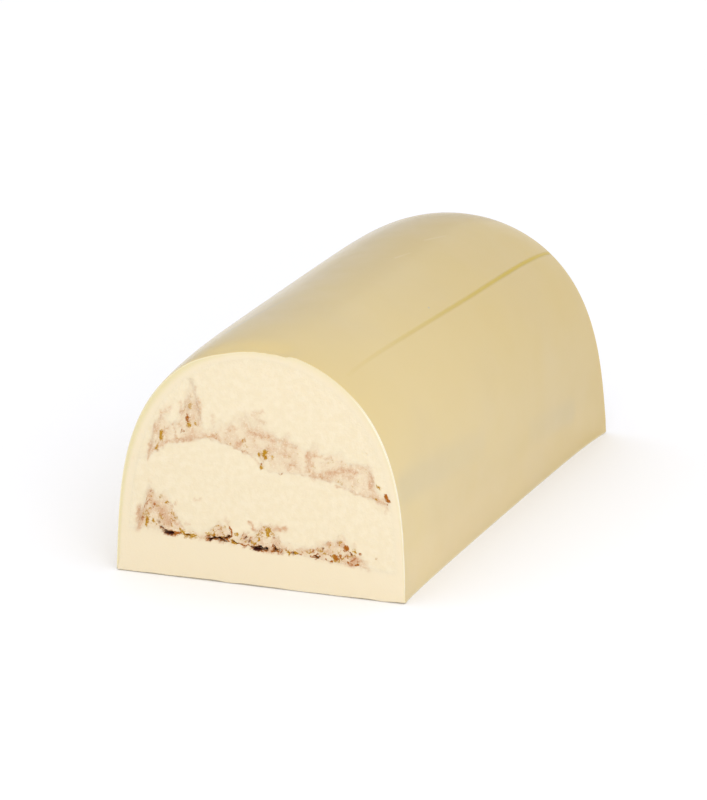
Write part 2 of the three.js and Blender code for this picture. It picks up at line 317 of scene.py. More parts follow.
def blend(tree, mask, base, top):
    """The socket of a colour mixed from base to top by a mask."""
    node = add(tree, "ShaderNodeMix", data_type="RGBA")
    for key, value in ((0, mask), (6, base), (7, top)):
        if isinstance(value, bpy.types.NodeSocket):
            tree.links.new(value, node.inputs[key])
        else:
            node.inputs[key].default_value = value
    return node.outputs[2]


def ramp(tree, value, low, high, start=0.0, end=1.0):
    """The socket of a value eased from start to end while its input runs from low to high."""
    links = {"Value": value, "From Min": low, "From Max": high, "To Min": start, "To Max": end}
    return add(tree, "ShaderNodeMapRange", links, interpolation_type="SMOOTHSTEP").outputs["Result"]


def product(tree, a, b, operation="MULTIPLY"):
    return add(tree, "ShaderNodeMath", {0: a, 1: b}, operation=operation).outputs[0]


def tint(red, green, blue):
    """A colour given in display values from 0 to 255."""
    parts = (part / 255 for part in (red, green, blue))
    return tuple(part / 12.92 if part < 0.04 else ((part + 0.055) / 1.055) ** 2.4 for part in parts) + (1,)


def new_group(name, inputs, outputs):
    """An empty shader node group with named inputs and outputs. Gives the group and its two end nodes."""
    group = bpy.data.node_groups.new(name, "ShaderNodeTree")
    for socket, kind, value in inputs:
        made = group.interface.new_socket(socket, in_out="INPUT", socket_type=kind)
        made.default_value = value
    for socket, kind in outputs:
        group.interface.new_socket(socket, in_out="OUTPUT", socket_type=kind)
    return group, group.nodes.new("NodeGroupInput"), group.nodes.new("NodeGroupOutput")


def use_group(tree, group, **values):
    """Places a group in a tree. Keywords name its inputs, with _ for each space."""
    node = tree.nodes.new("ShaderNodeGroup")
    node.node_tree = group
    for key, value in values.items():
        if isinstance(value, bpy.types.NodeSocket):
            tree.links.new(value, node.inputs[key.replace("_", " ")])
        else:
            node.inputs[key.replace("_", " ")].default_value = value
    return node


# a mark on the skin, such as a scrape, a crease or a soft spot, as a mask around a line on the unrolled skin
mark_group, mark_in, mark_out = new_group(
    "Skin mark",
    (("From", "NodeSocketVector", (0, 0, 0)), ("To", "NodeSocketVector", (0, 1, 0)),
     ("Width", "NodeSocketFloat", 1.0), ("Strong Start", "NodeSocketFloat", 1.0),
     ("Strong End", "NodeSocketFloat", 1.0)),
    (("Mask", "NodeSocketFloat"),),
)


def vectors(tree, operation, output, *values):
    node = add(tree, "ShaderNodeVectorMath", dict(enumerate(values)), operation=operation)
    return node.outputs[output]


skin_around = add(mark_group, "ShaderNodeAttribute", attribute_name="skin_around").outputs["Fac"]
skin_along = add(mark_group, "ShaderNodeAttribute", attribute_name="skin_along").outputs["Fac"]
skin_place = add(mark_group, "ShaderNodeCombineXYZ", {"X": skin_around, "Y": skin_along}).outputs[0]
offset = vectors(mark_group, "SUBTRACT", 0, skin_place, mark_in.outputs["From"])
run = vectors(mark_group, "SUBTRACT", 0, mark_in.outputs["To"], mark_in.outputs["From"])
passed = vectors(mark_group, "DOT_PRODUCT", "Value", offset, run)
whole = vectors(mark_group, "DOT_PRODUCT", "Value", run, run)
run_share = add(mark_group, "ShaderNodeMath", {0: passed, 1: whole}, operation="DIVIDE", use_clamp=True).outputs[0]
nearest = add(mark_group, "ShaderNodeVectorMath", {0: run, "Scale": run_share}, operation="SCALE").outputs[0]
apart = vectors(mark_group, "DISTANCE", "Value", offset, nearest)
mask = ramp(mark_group, product(mark_group, apart, mark_in.outputs["Width"], "DIVIDE"), 0.2, 1.0, 1.0, 0.0)
strong = add(
    mark_group, "ShaderNodeMapRange",
    {"Value": run_share, "To Min": mark_in.outputs["Strong Start"], "To Max": mark_in.outputs["Strong End"]},
).outputs["Result"]
mark_group.links.new(product(mark_group, mask, strong), mark_out.inputs["Mask"])

# faint fat bloom, in soft blotches of a cooler colour
bloom_group, bloom_in, bloom_out = new_group(
    "Bloom",
    (("Clean", "NodeSocketColor", (1, 1, 1, 1)), ("Bloomed", "NodeSocketColor", (1, 1, 1, 1)),
     ("Size", "NodeSocketFloat", 0.01), ("Amount", "NodeSocketFloat", 0.5)),
    (("Color", "NodeSocketColor"),),
)
spot = add(bloom_group, "ShaderNodeTexCoord").outputs["Object"]
scale = product(bloom_group, 1.0, bloom_in.outputs["Size"], "DIVIDE")
cloud = add(bloom_group, "ShaderNodeTexNoise", {"Vector": spot, "Scale": scale, "Detail": 2.0}).outputs["Fac"]
clouded = product(bloom_group, ramp(bloom_group, cloud, 0.42, 0.68), bloom_in.outputs["Amount"])
colour = blend(bloom_group, clouded, bloom_in.outputs["Clean"], bloom_in.outputs["Bloomed"])
bloom_group.links.new(colour, bloom_out.inputs["Color"])

MOULDED = tint(204, 183, 130)
# painted shade: the skin is darker towards the far end, where less of the lamp's light falls
MOULDED_FAR_PAINTED_SHADE = tint(194, 171, 112)
MOULDED_BLOOM = tint(194, 174, 130)
SCRAPE = tint(184, 158, 48)
# painted shade: the grey of a crease, with no dent of its own to hold the shade
CREASE_PAINTED_SHADE = tint(170, 165, 150)
# painted shade: the cool, darker patches on the right side of the skin
PAINTED_COOL_SHADE = tint(176, 165, 134)
ROSE = tint(210, 188, 142)
PALE = tint(222, 212, 184)
# the pale burr, and also the painted highlight along the feet
BURR_AND_PAINTED_HIGHLIGHT = tint(226, 219, 199)
COAT_GLOSS = 0.4  # roughness of the moulded skin
BLOOM_SIZE, BLOOM_AMOUNT = 0.014, 0.35  # metres, share
RIPPLE_FINENESS, RIPPLE_HEIGHT, SCRAPE_DEPTH = 170.0, 0.03, 0.12
# marks on the skin, in mm around the arch from the crown and along from the far cut: from, to, width, strength
# at both ends, colour. The scrape runs down the right shoulder and fades towards the near cut. A thin crease
# lies left of the crown, with its shade painted in as a grey line, and soft rosy streaks and patches of painted
# cool shade run along the right side.
SKIN_MARKS = (
    ((12.06, -1.0), (11.62, 10.0), 0.38, 1.0, 1.0, SCRAPE),
    ((11.62, 10.0), (11.15, 25.0), 0.38, 1.0, 0.75, SCRAPE),
    ((11.15, 25.0), (9.7, 59.5), 0.38, 0.75, 0.05, SCRAPE),
    ((-6.7, 55.0), (-3.4, 42.0), 0.4, 0.4, 0.1, CREASE_PAINTED_SHADE),
    ((9.38, 34.2), (9.42, 34.4), 0.16, 0.7, 0.7, CREASE_PAINTED_SHADE),
    ((33.5, 4.0), (33.5, 58.0), 4.0, 0.15, 0.4, ROSE),
    ((23.7, 60.0), (25.8, 38.0), 2.8, 0.34, 0.12, PAINTED_COOL_SHADE),
    ((29.2, 22.0), (30.6, 10.0), 2.4, 0.1, 0.26, PAINTED_COOL_SHADE),
    ((1.75, 24.9), (2.44, 22.0), 0.22, 0.16, 0.08, PALE),
    ((2.15, 16.2), (3.34, 13.0), 0.22, 0.16, 0.08, PALE),
)


def new_material(name):
    """A material with its Principled shader, ready for nodes. Gives the material, its tree and the shader."""
    material = bpy.data.materials.new(name)
    material.use_nodes = True
    shader = next(n for n in material.node_tree.nodes if n.type == "BSDF_PRINCIPLED")
    return material, material.node_tree, shader


moulded, tree, shader = new_material("Moulded white chocolate")
along = add(tree, "ShaderNodeAttribute", attribute_name="skin_along").outputs["Fac"]
# painted shade: the skin's colour darkens from the near cut to the far one, as the light falls off
clean = blend(tree, ramp(tree, along, 0.0, FAR_Y - NEAR_Y), MOULDED_FAR_PAINTED_SHADE, MOULDED)
bloom = use_group(tree, bloom_group, Clean=clean, Bloomed=MOULDED_BLOOM, Size=BLOOM_SIZE, Amount=BLOOM_AMOUNT)
colour = bloom.outputs["Color"]
marked = {}
for start, end, width, strong_start, strong_end, mark_colour in SKIN_MARKS:
    mark = use_group(
        tree, mark_group, From=(*start, 0), To=(*end, 0), Width=width, Strong_Start=strong_start, Strong_End=strong_end
    ).outputs["Mask"]
    marked[mark_colour] = product(tree, marked[mark_colour], mark, "MAXIMUM") if mark_colour in marked else mark
for mark_colour, mark in marked.items():
    colour = blend(tree, mark, colour, mark_colour)
# pale burr, painted highlight along the feet and paler left edge, from the burr attribute
burr_and_highlight_mask = add(tree, "ShaderNodeAttribute", attribute_name="burr").outputs["Fac"]
colour = blend(tree, burr_and_highlight_mask, colour, BURR_AND_PAINTED_HIGHLIGHT)
tree.links.new(colour, shader.inputs["Base Color"])
object_place = add(tree, "ShaderNodeTexCoord").outputs["Object"]
ripples = {"Vector": object_place, "Scale": RIPPLE_FINENESS, "Detail": 3.0}
ripple = add(tree, "ShaderNodeTexNoise", ripples).outputs["Fac"]
tree.links.new(ramp(tree, ripple, 0.3, 0.7, COAT_GLOSS - 0.05, COAT_GLOSS + 0.06), shader.inputs["Roughness"])
scraped = product(tree, marked[SCRAPE], SCRAPE_DEPTH)
height = product(tree, product(tree, ripple, RIPPLE_HEIGHT), scraped, "SUBTRACT")
bump = add(tree, "ShaderNodeBump", {"Height": height, "Distance": 0.0012, "Strength": 0.6})
tree.links.new(bump.outputs["Normal"], shader.inputs["Normal"])
shader.inputs["IOR"].default_value = 1.45
shader.inputs["Specular IOR Level"].default_value = 0.2
shader.inputs["Coat Weight"].default_value = 0.9
shader.inputs["Coat IOR"].default_value = 1.25
shader.inputs["Coat Roughness"].default_value = 0.22
shader.inputs["Subsurface Weight"].default_value = 0.12
shader.inputs["Subsurface Radius"].default_value = (1.0, 0.7, 0.35)
shader.inputs["Subsurface Scale"].default_value = 0.0012

# The praline seams
# Two thin seams of crushed praline and crisp flakes lie in the nougat: one in the middle, one on the coat's
# floor. They were spread by hand before the bar was closed, so the knife dragged them into streaks and crumbs.

UPPER_LINE = ((-12.6, 13.8, 0.2), (-11.6, 14.7, 4.5), (-9.9, 15.8, 2.2), (-7.6, 16.5, 6.0), (-6.1, 16.8, 1.1),
              (-3.6, 16.3, 2.7), (-0.5, 15.4, 4.1), (1.3, 13.6, 4.5), (4.8, 13.8, 3.2), (8.0, 13.4, 3.3),
              (11.6, 12.1, 3.6), (14.1, 11.4, 0.4))
UPPER_LEFT, UPPER_RIGHT = 13.6, 11.2
LOWER_THICK = (0.3, 4.6, 4.4, 0.9, 0.7, 2.0, 1.0, 2.8, 1.1, 1.2, 3.0, 0.3)
LOWER_LINE = tuple((x, z, thick) for (x, z), thick in zip(FLOOR_LINE, LOWER_THICK))
SEAM_TIP = 0.05  # least thickness of a seam, mm
SEAM_UNDER_WALL = 0.4  # how far a seam's top stays under the coat, mm
RAGGED, RAGGED_COARSE, RAGGED_FINE = 0.1, 2.3, 4.1  # how much, and how finely, a seam's top is ragged


def seam_foot(stations, left, right, x):
    ends = ((wall_x(left, -1), left), *((s[0], s[1]) for s in stations), (wall_x(right, 1), right))
    return smooth_line(ends, x)


def wall_x(height, side):
    """Where the coat's inner wall stands at a height, on the left side (-1) or the right (1)."""
    half = HALF_WIDTH - (WALL_LEFT if side < 0 else WALL_RIGHT)
    return side * half * np.sqrt(1 - (height / (HEIGHT - WALL_CROWN)) ** CROWN_POWER)


def seam_top(stations, left, right, x):
    ends = ((wall_x(left, -1), 0.0), *((s[0], s[2]) for s in stations), (wall_x(right, 1), 0.0))
    ragged = 1 + RAGGED * (np.sin(RAGGED_COARSE * x) + np.cos(RAGGED_FINE * x))
    foot = seam_foot(stations, left, right, x)
    half = HALF_WIDTH - np.where(x < 0, WALL_LEFT, WALL_RIGHT)
    roof = (HEIGHT - WALL_CROWN) * np.maximum(0, 1 - (np.abs(x) / half) ** 2) ** (1 / CROWN_POWER)
    thick = np.minimum(smooth_line(ends, x) * ragged, roof - SEAM_UNDER_WALL - foot)
    return foot + np.maximum(thick, SEAM_TIP)


# what the knife dragged out on the near cut, each as x0, z0, x1, z1, half width, strength, in mm: first the pale
# smears, then the flakes in gold and in amber, and last the crevices and small pits, painted near black as the
# shadow in their depth
SMEARS = (
    (-12.3, 15.6, -12.6, 13.7, 0.2, 0.5), (-10.3, 19.8, -10.9, 19.3, 0.35, 0.35), (-10.9, 19.3, -11.9, 16.9, 0.25, 0.4),
    (-10.4, 17.4, -11.0, 16.6, 0.15, 0.5), (-9.7, 18.1, -9.4, 16.5, 0.13, 0.65), (-8.9, 20.7, -8.8, 18.6, 0.18, 0.3),
    (-7.3, 22.6, -7.0, 21.4, 0.26, 0.32), (-7.0, 21.4, -6.75, 19.6, 0.28, 0.62), (-6.75, 19.6, -6.9, 18.3, 0.16, 0.7),
    (-7.9, 21.4, -7.6, 17.6, 0.6, 0.28), (-5.3, 19.6, -5.2, 18.3, 0.2, 0.22), (-12.0, 14.8, -10.6, 15.8, 0.25, 0.6),
    (-10.6, 15.8, -8.6, 16.4, 0.25, 0.6), (-8.6, 16.4, -6.8, 16.9, 0.27, 0.65), (-6.8, 16.9, -4.8, 17.3, 0.25, 0.55),
    (-4.8, 17.3, -4.3, 16.5, 0.2, 0.65), (-3.3, 18.1, -3.1, 18.2, 0.5, 0.5), (-1.9, 17.2, -2.7, 16.1, 0.2, 0.65),
    (-2.7, 16.1, -0.9, 15.4, 0.16, 0.6), (-0.9, 15.4, 0.2, 14.3, 0.14, 0.5), (-1.0, 18.0, 1.8, 17.6, 0.42, 0.6),
    (1.8, 17.6, 4.0, 16.9, 0.32, 0.5), (-0.4, 20.5, 0.3, 20.6, 0.28, 0.4), (-0.6, 20.0, 0.5, 19.4, 0.26, 0.4),
    (-1.6, 19.3, 0.1, 18.3, 0.9, 0.22), (0.9, 16.3, 3.2, 15.9, 0.4, 0.35), (3.3, 14.6, 4.0, 14.9, 0.55, 0.5),
    (5.5, 16.3, 5.6, 14.4, 0.4, 0.55), (6.0, 16.2, 7.8, 16.0, 0.16, 0.45), (6.0, 13.8, 7.6, 13.9, 0.45, 0.5),
    (7.6, 14.2, 9.6, 14.9, 0.42, 0.55), (9.4, 14.9, 10.6, 14.9, 0.4, 0.65), (10.4, 15.2, 12.3, 15.3, 0.4, 0.4),
    (9.4, 14.2, 10.2, 14.2, 0.35, 0.5), (12.3, 15.0, 12.5, 13.0, 0.26, 0.5), (8.5, 13.0, 9.4, 12.7, 0.14, 0.5),
    (9.4, 12.7, 12.2, 12.1, 0.2, 0.35), (12.3, 12.4, 13.8, 11.4, 0.42, 0.45), (14.1, 11.3, 14.1, 10.4, 0.2, 0.35),
    (-13.5, 7.7, -13.6, 5.4, 0.3, 0.65), (-12.8, 8.0, -12.6, 7.3, 0.35, 0.65), (-12.6, 9.4, -12.3, 8.9, 0.35, 0.35),
    (-11.8, 8.6, -10.4, 6.9, 0.9, 0.38), (-10.8, 7.5, -10.5, 7.2, 0.24, 0.6), (-10.0, 7.1, -8.9, 5.9, 0.36, 0.45),
    (-9.4, 9.0, -9.7, 8.2, 0.09, 0.75), (-9.7, 8.2, -10.1, 8.8, 0.08, 0.5), (-7.3, 9.4, -6.6, 9.7, 0.14, 0.25),
    (-8.3, 6.5, -7.9, 6.6, 0.16, 0.4), (-3.9, 7.6, -3.5, 6.9, 0.3, 0.3), (1.0, 7.1, 2.7, 7.2, 0.3, 0.85),
    (-1.1, 7.4, -0.6, 6.7, 0.2, 0.8), (-0.5, 6.7, 0.2, 6.0, 0.15, 0.7), (0.1, 6.8, 0.9, 7.0, 0.3, 0.6),
    (0.2, 5.6, 0.3, 5.3, 0.2, 0.5), (7.3, 5.8, 8.3, 6.2, 0.4, 0.4), (6.9, 5.3, 8.8, 5.0, 0.25, 0.4),
    (9.06, 6.3, 9.05, 5.4, 0.08, 0.7), (9.8, 5.0, 11.6, 4.2, 0.45, 0.45), (6.4, 3.9, 10.3, 4.0, 0.12, 0.25),
    (11.0, 4.0, 12.1, 3.5, 0.18, 0.4), (4.6, 4.8, 6.3, 5.3, 0.4, 0.2),
)
GOLDEN = (
    (-11.0, 17.0, -11.1, 16.1, 0.17, 0.9), (-11.5, 15.3, -11.65, 15.0, 0.14, 0.6), (-8.0, 18.5, -7.9, 18.1, 0.2, 0.75),
    (-7.7, 20.7, -7.8, 20.3, 0.24, 0.6), (-7.2, 18.7, -7.25, 18.3, 0.12, 0.7), (-0.1, 15.8, -0.1, 15.4, 0.14, 0.75),
    (0.6, 15.9, 0.7, 15.4, 0.26, 1.0), (1.3, 15.5, 1.5, 15.4, 0.2, 0.55), (0.2, 14.4, 0.3, 14.0, 0.16, 0.7),
    (-1.9, 17.2, -1.9, 17.0, 0.2, 0.4), (13.2, 13.5, 13.5, 13.3, 0.26, 0.4), (12.7, 11.9, 13.0, 11.9, 0.22, 0.45),
    (-12.7, 6.7, -12.7, 5.7, 0.17, 0.9), (-11.9, 6.7, -11.9, 6.3, 0.17, 0.6), (-12.8, 7.9, -12.7, 7.6, 0.2, 0.35),
    (-8.8, 5.7, -8.2, 5.2, 0.18, 0.85), (-8.2, 5.2, -7.0, 5.15, 0.1, 0.8), (-7.0, 5.1, -5.9, 5.1, 0.1, 0.35),
    (-5.9, 5.6, -5.0, 5.6, 0.2, 0.85), (-5.05, 6.5, -5.0, 6.0, 0.11, 0.7), (-3.1, 5.1, -2.7, 4.8, 0.18, 0.7),
    (-2.9, 5.9, -2.4, 5.9, 0.12, 0.55), (0.85, 6.9, 0.95, 6.2, 0.22, 0.9), (0.4, 6.0, 0.8, 6.0, 0.1, 0.5),
    (3.1, 4.7, 3.2, 4.5, 0.16, 0.6), (3.9, 4.6, 4.1, 4.5, 0.16, 0.85), (6.6, 5.2, 6.8, 5.0, 0.24, 0.45),
    (8.1, 4.8, 8.5, 4.4, 0.22, 0.85), (10.4, 5.7, 10.6, 5.4, 0.17, 0.6), (11.0, 4.3, 11.1, 4.0, 0.1, 0.45),
)
AMBER = (
    (-8.2, 19.0, -8.0, 18.8, 0.26, 1.0), (14.1, 12.4, 14.2, 12.0, 0.27, 1.0), (14.1, 11.5, 14.1, 11.4, 0.14, 0.5),
    (-8.7, 17.6, -8.7, 17.3, 0.11, 0.7), (0.7, 15.6, 0.75, 15.5, 0.14, 0.5), (-3.45, 6.7, -3.3, 6.3, 0.13, 0.95),
    (-3.3, 6.2, -3.3, 5.6, 0.1, 0.8), (8.95, 5.0, 9.1, 4.4, 0.17, 0.85), (8.2, 4.8, 8.6, 4.4, 0.17, 0.75),
    (9.55, 5.9, 9.6, 5.6, 0.19, 1.0), (10.15, 5.3, 10.2, 5.1, 0.1, 0.7), (-5.2, 5.5, -4.9, 5.6, 0.12, 0.7),
    (-3.9, 5.3, -3.6, 5.2, 0.1, 0.8),
    (10.7, 5.5, 11.2, 5.2, 0.08, 0.45), (7.5, 4.9, 8.0, 4.7, 0.08, 0.5), (12.9, 5.0, 12.92, 5.0, 0.11, 0.6),
    (0.2, 14.55, 0.22, 14.5, 0.09, 0.6), (2.4, 13.9, 2.4, 13.65, 0.08, 0.5), (1.7, 13.7, 1.75, 13.7, 0.08, 0.4),
)
# the crevices are real pits; their near-black colour is painted shadow
CREVICES = (
    (-11.5, 6.4, -11.1, 5.8, 0.05, 0.4), (-11.1, 5.8, -10.7, 5.3, 0.06, 0.7), (-10.7, 5.25, -9.7, 5.1, 0.16, 1.0),
    (-9.7, 5.1, -9.0, 4.95, 0.09, 0.9), (-5.8, 5.2, -4.7, 5.22, 0.09, 1.0), (-4.7, 5.22, -3.9, 4.95, 0.13, 1.0),
    (-4.2, 5.47, -3.5, 5.5, 0.09, 1.0), (-0.8, 4.62, -0.1, 4.66, 0.14, 1.0), (-0.1, 4.66, 0.7, 4.5, 0.13, 1.0),
    (1.35, 5.1, 1.55, 4.8, 0.1, 0.8), (1.5, 4.74, 1.65, 4.74, 0.15, 1.0), (1.7, 4.74, 2.1, 4.74, 0.08, 0.6),
    (6.25, 4.42, 6.45, 4.4, 0.14, 1.0), (-1.3, 5.4, -1.2, 5.35, 0.1, 0.6), (-1.7, 5.6, -1.6, 5.6, 0.08, 0.5),
    (3.55, 4.56, 3.8, 4.54, 0.1, 0.7), (6.85, 5.45, 6.9, 5.44, 0.1, 0.5), (-8.3, 5.25, -7.9, 5.15, 0.07, 0.5),
    (-2.9, 4.95, -2.6, 4.85, 0.07, 0.6), (10.1, 5.3, 10.2, 5.1, 0.07, 0.5),
    (9.65, 17.34, 9.7, 17.34, 0.09, 0.14), (11.9, 17.0, 11.9, 16.9, 0.1, 0.14), (8.2, 15.85, 8.2, 15.84, 0.09, 0.2),
)


def draw(strokes, x, z, wobble, widen=1.0):
    """Soft strokes over the cut, each broken up by the wobble. The strongest one wins at each point."""
    mask = np.zeros_like(x)
    for x0, z0, x1, z1, width, strength in strokes:
        width = width * widen
        run_x, run_z = x1 - x0, z1 - z0
        along = np.clip(((x - x0) * run_x + (z - z0) * run_z) / (run_x**2 + run_z**2), 0, 1)
        apart = np.hypot(x - x0 - along * run_x, z - z0 - along * run_z)
        near = np.flatnonzero(apart < width * 3)
        mask[near] = np.maximum(mask[near], strength * np.exp(-((apart[near] / width) ** 2)) * wobble[near])
    return np.clip(mask, 0, 1)


# each seam's line and ends, the strength of its blush, its specks and the brown line along its foot, and how far
# right its marks run, mm
SEAM_MARKS = (
    (UPPER_LINE, UPPER_LEFT, UPPER_RIGHT, 0.31, 0.3, 0.22, 14.6),
    (LOWER_LINE, FLOOR_LEFT, FLOOR_RIGHT, 0.62, 0.72, 0.8, 12.3),
)
STREAK_WIDTH, STREAK_HEIGHT, SPECK_SIZE = 0.3, 0.9, 0.22  # mm
WARP, WARP_SIZE = 0.4, 0.32  # how far and how finely the marks' edges wander, mm
# the brown ring round a crevice is partly praline stain and partly the soft edge of its painted shadow
HALO, HALO_STRENGTH = 2.1, 0.75  # width of the brown stain around a crevice against the crevice's own, and strength
FOOT_LINE = 0.1  # half the height of the broken brown line along a seam's foot, mm


def stained(x, z):
    """How much blush, gold, amber and hollow the near cut shows at each point, each from 0 to 1."""
    warp_x, warp_z = blotches(x, z, WARP_SIZE, 17) - 0.5, blotches(x, z, WARP_SIZE, 18) - 0.5
    x, z = x + WARP * warp_x, z + WARP * warp_z
    fine = 0.45 + 1.1 * blotches(x, z, 0.2, 11)
    streaks = blotches(x, z * STREAK_WIDTH / STREAK_HEIGHT, STREAK_WIDTH, 12)
    clumps = blotches(x, z, 0.55, 13)
    broken = 0.45 + 1.2 * streaks * (0.4 + clumps)
    blush, golden = draw(SMEARS, x, z, fine * (0.7 + 0.5 * broken)), draw(GOLDEN, x, z, fine)
    amber, hollow = draw(AMBER, x, z, fine), draw(CREVICES, x, z, np.ones_like(x))
    for stations, left, right, band, specked, lined, last in SEAM_MARKS:
        foot, top = seam_foot(stations, left, right, x), seam_top(stations, left, right, x)
        soft_top = top - 0.7 + 1.3 * blotches(x, z, 0.7, 20)
        inside = ease(np.clip((z - foot + 0.15) / 0.3, 0, 1)) * ease(np.clip((soft_top - z + 0.5) / 1.3, 0, 1))
        inside *= ease(np.clip(last - x, 0, 1))
        patches = 0.35 + 0.65 * ease(np.clip((blotches(x, z, 0.9, 24) - 0.25) / 0.45, 0, 1))
        blush = 1 - (1 - blush) * (1 - np.clip(band * inside * broken * patches, 0, 1))
        specks = ease(np.clip((blotches(x, z, SPECK_SIZE, 14) - 0.5) / 0.25, 0, 1)) * ease(clumps)
        brown = ease(np.clip((blotches(x, z, SPECK_SIZE, 19) - 0.6) / 0.2, 0, 1)) * patches
        golden = np.maximum(golden, specked * specks * inside)
        amber = np.maximum(amber, 0.9 * specked**2 * brown * inside)
        off_line = np.abs(z - foot - FOOT_LINE - 0.25 * (blotches(x, z * 0, 0.7, 15) - 0.35)) / FOOT_LINE
        dashes = ease(np.clip((blotches(x, z * 0, 0.45, 16) - 0.3) / 0.3, 0, 1)) * (np.abs(x + 1) < 12)
        amber = np.maximum(amber, lined * dashes * np.exp(-(off_line**2)) * (0.5 + clumps))
    base_top = seam_foot(LOWER_LINE, FLOOR_LEFT, FLOOR_RIGHT, x)
    over_base = np.maximum(ease(np.clip((z - base_top + 0.3) / 0.15, 0, 1)), z > 9)
    hollow = hollow * over_base
    # brown ring round each crevice: praline stain and the soft edge of the painted shadow
    amber = np.maximum(amber, HALO_STRENGTH * over_base * draw(CREVICES, x, z, fine, HALO))
    return blush, golden, np.clip(amber, 0, 1), hollow


def far_view(x, z):
    """Section points of the far cut, turned left for right and kept at their height over the seams' feet."""
    upper = seam_foot(UPPER_LINE, UPPER_LEFT, UPPER_RIGHT, x), seam_foot(UPPER_LINE, UPPER_LEFT, UPPER_RIGHT, -x)
    lower = seam_foot(LOWER_LINE, FLOOR_LEFT, FLOOR_RIGHT, x), seam_foot(LOWER_LINE, FLOOR_LEFT, FLOOR_RIGHT, -x)
    share = ease(np.clip((z - lower[0]) / (upper[0] - lower[0]), 0, 1))
    return -x, z + between(lower[1] - lower[0], upper[1] - upper[0], share)


CRUMB_RELIEF, GOLD_PROUD, AMBER_PROUD = 0.14, 0.05, 0.08  # how far crumbs and flakes stand out of the cut, mm
HOLLOW_DEPTH = 0.8  # mm
MARK_REACH = 0.6  # how far the marks of a cut reach into the bar, mm


def mark_cuts(mesh, x, z, share):
    """Stores the praline marks of both cuts in a mesh and gives how proud each point of them stands, in mm."""
    proud = []
    totals = np.zeros((4, len(x)))
    for side, (view_x, view_z) in enumerate(((x, z), far_view(x, z))):
        depth = ((1 - share) if side == 0 else share) * (FAR_Y - NEAR_Y)
        close = np.exp(-((depth / MARK_REACH) ** 2))
        marks = np.zeros((4, len(x)))
        spots = np.flatnonzero(close > 0.01)
        marks[:, spots] = stained(view_x[spots], view_z[spots])
        blush, golden, amber, hollow = marks
        crumbs = (blotches(view_x, view_z, 0.3, 21) - 0.35) * CRUMB_RELIEF * np.clip(blush + golden + amber, 0, 1)
        proud.append(cut_grain(x, z) + crumbs + golden * GOLD_PROUD + amber * AMBER_PROUD - hollow * HOLLOW_DEPTH)
        totals = np.maximum(totals, marks * close)
    for name, values in zip(("blush", "golden", "amber", "hollow"), totals):
        carve(mesh, name, values)
    return proud


# the smears pass over every layer of the cut, so one group paints them on each layer's own colour
PRALINE_BLUSH = tint(186, 150, 118)
PRALINE_GOLD = tint(162, 120, 28)
PRALINE_AMBER = tint(148, 84, 14)
# painted shadow: the near-black colour of the crevices
PRALINE_HOLLOW_SHADOW = tint(52, 16, 9)
PRALINE_CRUMB = tint(232, 221, 200)
smear_group, smear_in, smear_out = new_group(
    "Praline smear",
    (("Clean", "NodeSocketColor", (1, 1, 1, 1)), ("Blush", "NodeSocketColor", PRALINE_BLUSH)),
    (("Color", "NodeSocketColor"), ("Height", "NodeSocketFloat")),
)
spot = add(smear_group, "ShaderNodeTexCoord").outputs["Object"]
speckle = add(smear_group, "ShaderNodeTexNoise", {"Vector": spot, "Scale": 4200.0, "Detail": 2.0}).outputs["Fac"]
cloud = add(smear_group, "ShaderNodeTexNoise", {"Vector": spot, "Scale": 900.0, "Detail": 3.0}).outputs["Fac"]
grit = add(smear_group, "ShaderNodeTexNoise", {"Vector": spot, "Scale": 6500.0, "Detail": 2.0}).outputs["Fac"]
smeared = add(smear_group, "ShaderNodeAttribute", attribute_name="blush").outputs["Fac"]
broken = ramp(smear_group, cloud, 0.3, 0.7, 0.75, 1.25)
broken = product(smear_group, broken, ramp(smear_group, grit, 0.36, 0.64, 0.82, 1.2))
blush = product(smear_group, smeared, broken)
colour = blend(smear_group, blush, smear_in.outputs["Clean"], smear_in.outputs["Blush"])
crumb_strength = ramp(smear_group, smeared, 0.06, 0.35, 0.0, 0.28)
crumb = product(smear_group, ramp(smear_group, speckle, 0.58, 0.68), crumb_strength)
colour = blend(smear_group, crumb, colour, PRALINE_CRUMB)
gritty = ramp(smear_group, grit, 0.34, 0.66, 0.65, 1.5)
for name, top in (("golden", PRALINE_GOLD), ("amber", PRALINE_AMBER)):
    layer = add(smear_group, "ShaderNodeAttribute", attribute_name=name).outputs["Fac"]
    layer = product(smear_group, layer, gritty)
    colour = blend(smear_group, ramp(smear_group, layer, 0.12, 0.65), colour, top)
# painted shadow in the crevices, over their real depth
hollow = add(smear_group, "ShaderNodeAttribute", attribute_name="hollow").outputs["Fac"]
colour = blend(smear_group, ramp(smear_group, hollow, 0.3, 0.75), colour, PRALINE_HOLLOW_SHADOW)
smear_group.links.new(colour, smear_out.inputs["Color"])
height = product(smear_group, speckle, product(smear_group, cloud, 0.8), "ADD")
smear_group.links.new(height, smear_out.inputs["Height"])


def cut_material(name, clean, roughness, bump_distance):
    """A freshly cut, matt food surface in its own colour, with the praline smeared over it."""
    material, tree, shader = new_material(name)
    smear = use_group(tree, smear_group, Clean=clean)
    tree.links.new(smear.outputs["Color"], shader.inputs["Base Color"])
    relief = {"Height": smear.outputs["Height"], "Distance": bump_distance, "Strength": 0.5}
    bump = add(tree, "ShaderNodeBump", relief)
    tree.links.new(bump.outputs["Normal"], shader.inputs["Normal"])
    shader.inputs["Roughness"].default_value = roughness
    shader.inputs["Specular IOR Level"].default_value = 0.12
    shader.inputs["Subsurface Weight"].default_value = 0.12
    shader.inputs["Subsurface Radius"].default_value = (1.0, 0.75, 0.45)
    shader.inputs["Subsurface Scale"].default_value = 0.0008
    return material, tree, shader


